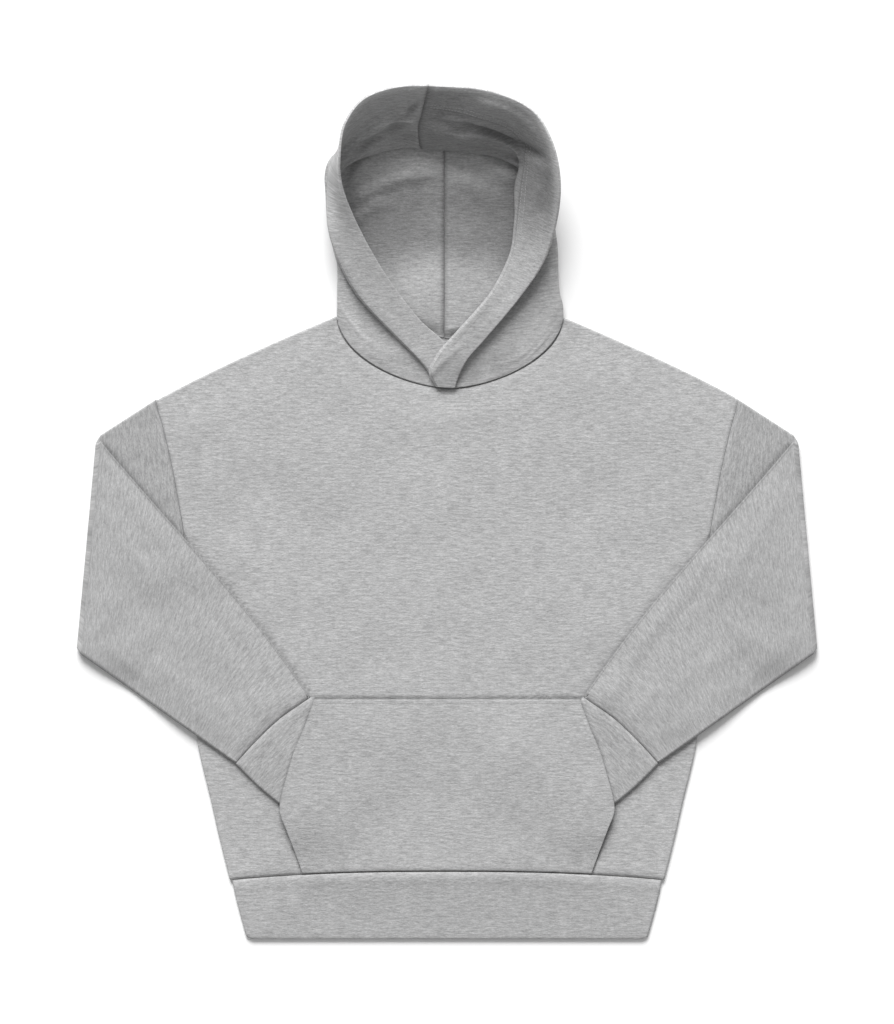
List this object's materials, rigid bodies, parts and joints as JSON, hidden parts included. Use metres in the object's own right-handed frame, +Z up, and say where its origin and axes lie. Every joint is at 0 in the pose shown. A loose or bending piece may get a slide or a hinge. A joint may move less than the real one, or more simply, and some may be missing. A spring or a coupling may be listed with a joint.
{
  "type": "pullover hoodie laid flat",
  "caption": "Boxy pullover hoodie laid flat front up, open hood, sleeves folded over the front with the cuffs tucked into the front pocket.",
  "frame": {"origin": "middle of the footprint's box, on the surface that the garment lies on", "axes": "+X to the viewer's right across the body, +Y from the hem to the hood, +Z up from the surface"},
  "size_m": [0.8362, 0.964, 0.0928],
  "materials": {
    "marl_fleece": "soft matt marl sweatshirt fleece with fine darker and lighter flecks along the courses"
  },
  "bodies": {
    "root": {"back_body": "marl_fleece", "front_body": "marl_fleece", "hem_band": "marl_fleece", "sleeve_left": "marl_fleece", "sleeve_right": "marl_fleece", "cuff_left": "marl_fleece", "cuff_right": "marl_fleece", "pocket": "marl_fleece", "hood_left": "marl_fleece", "hood_right": "marl_fleece"}
  },
  "joints": []
}
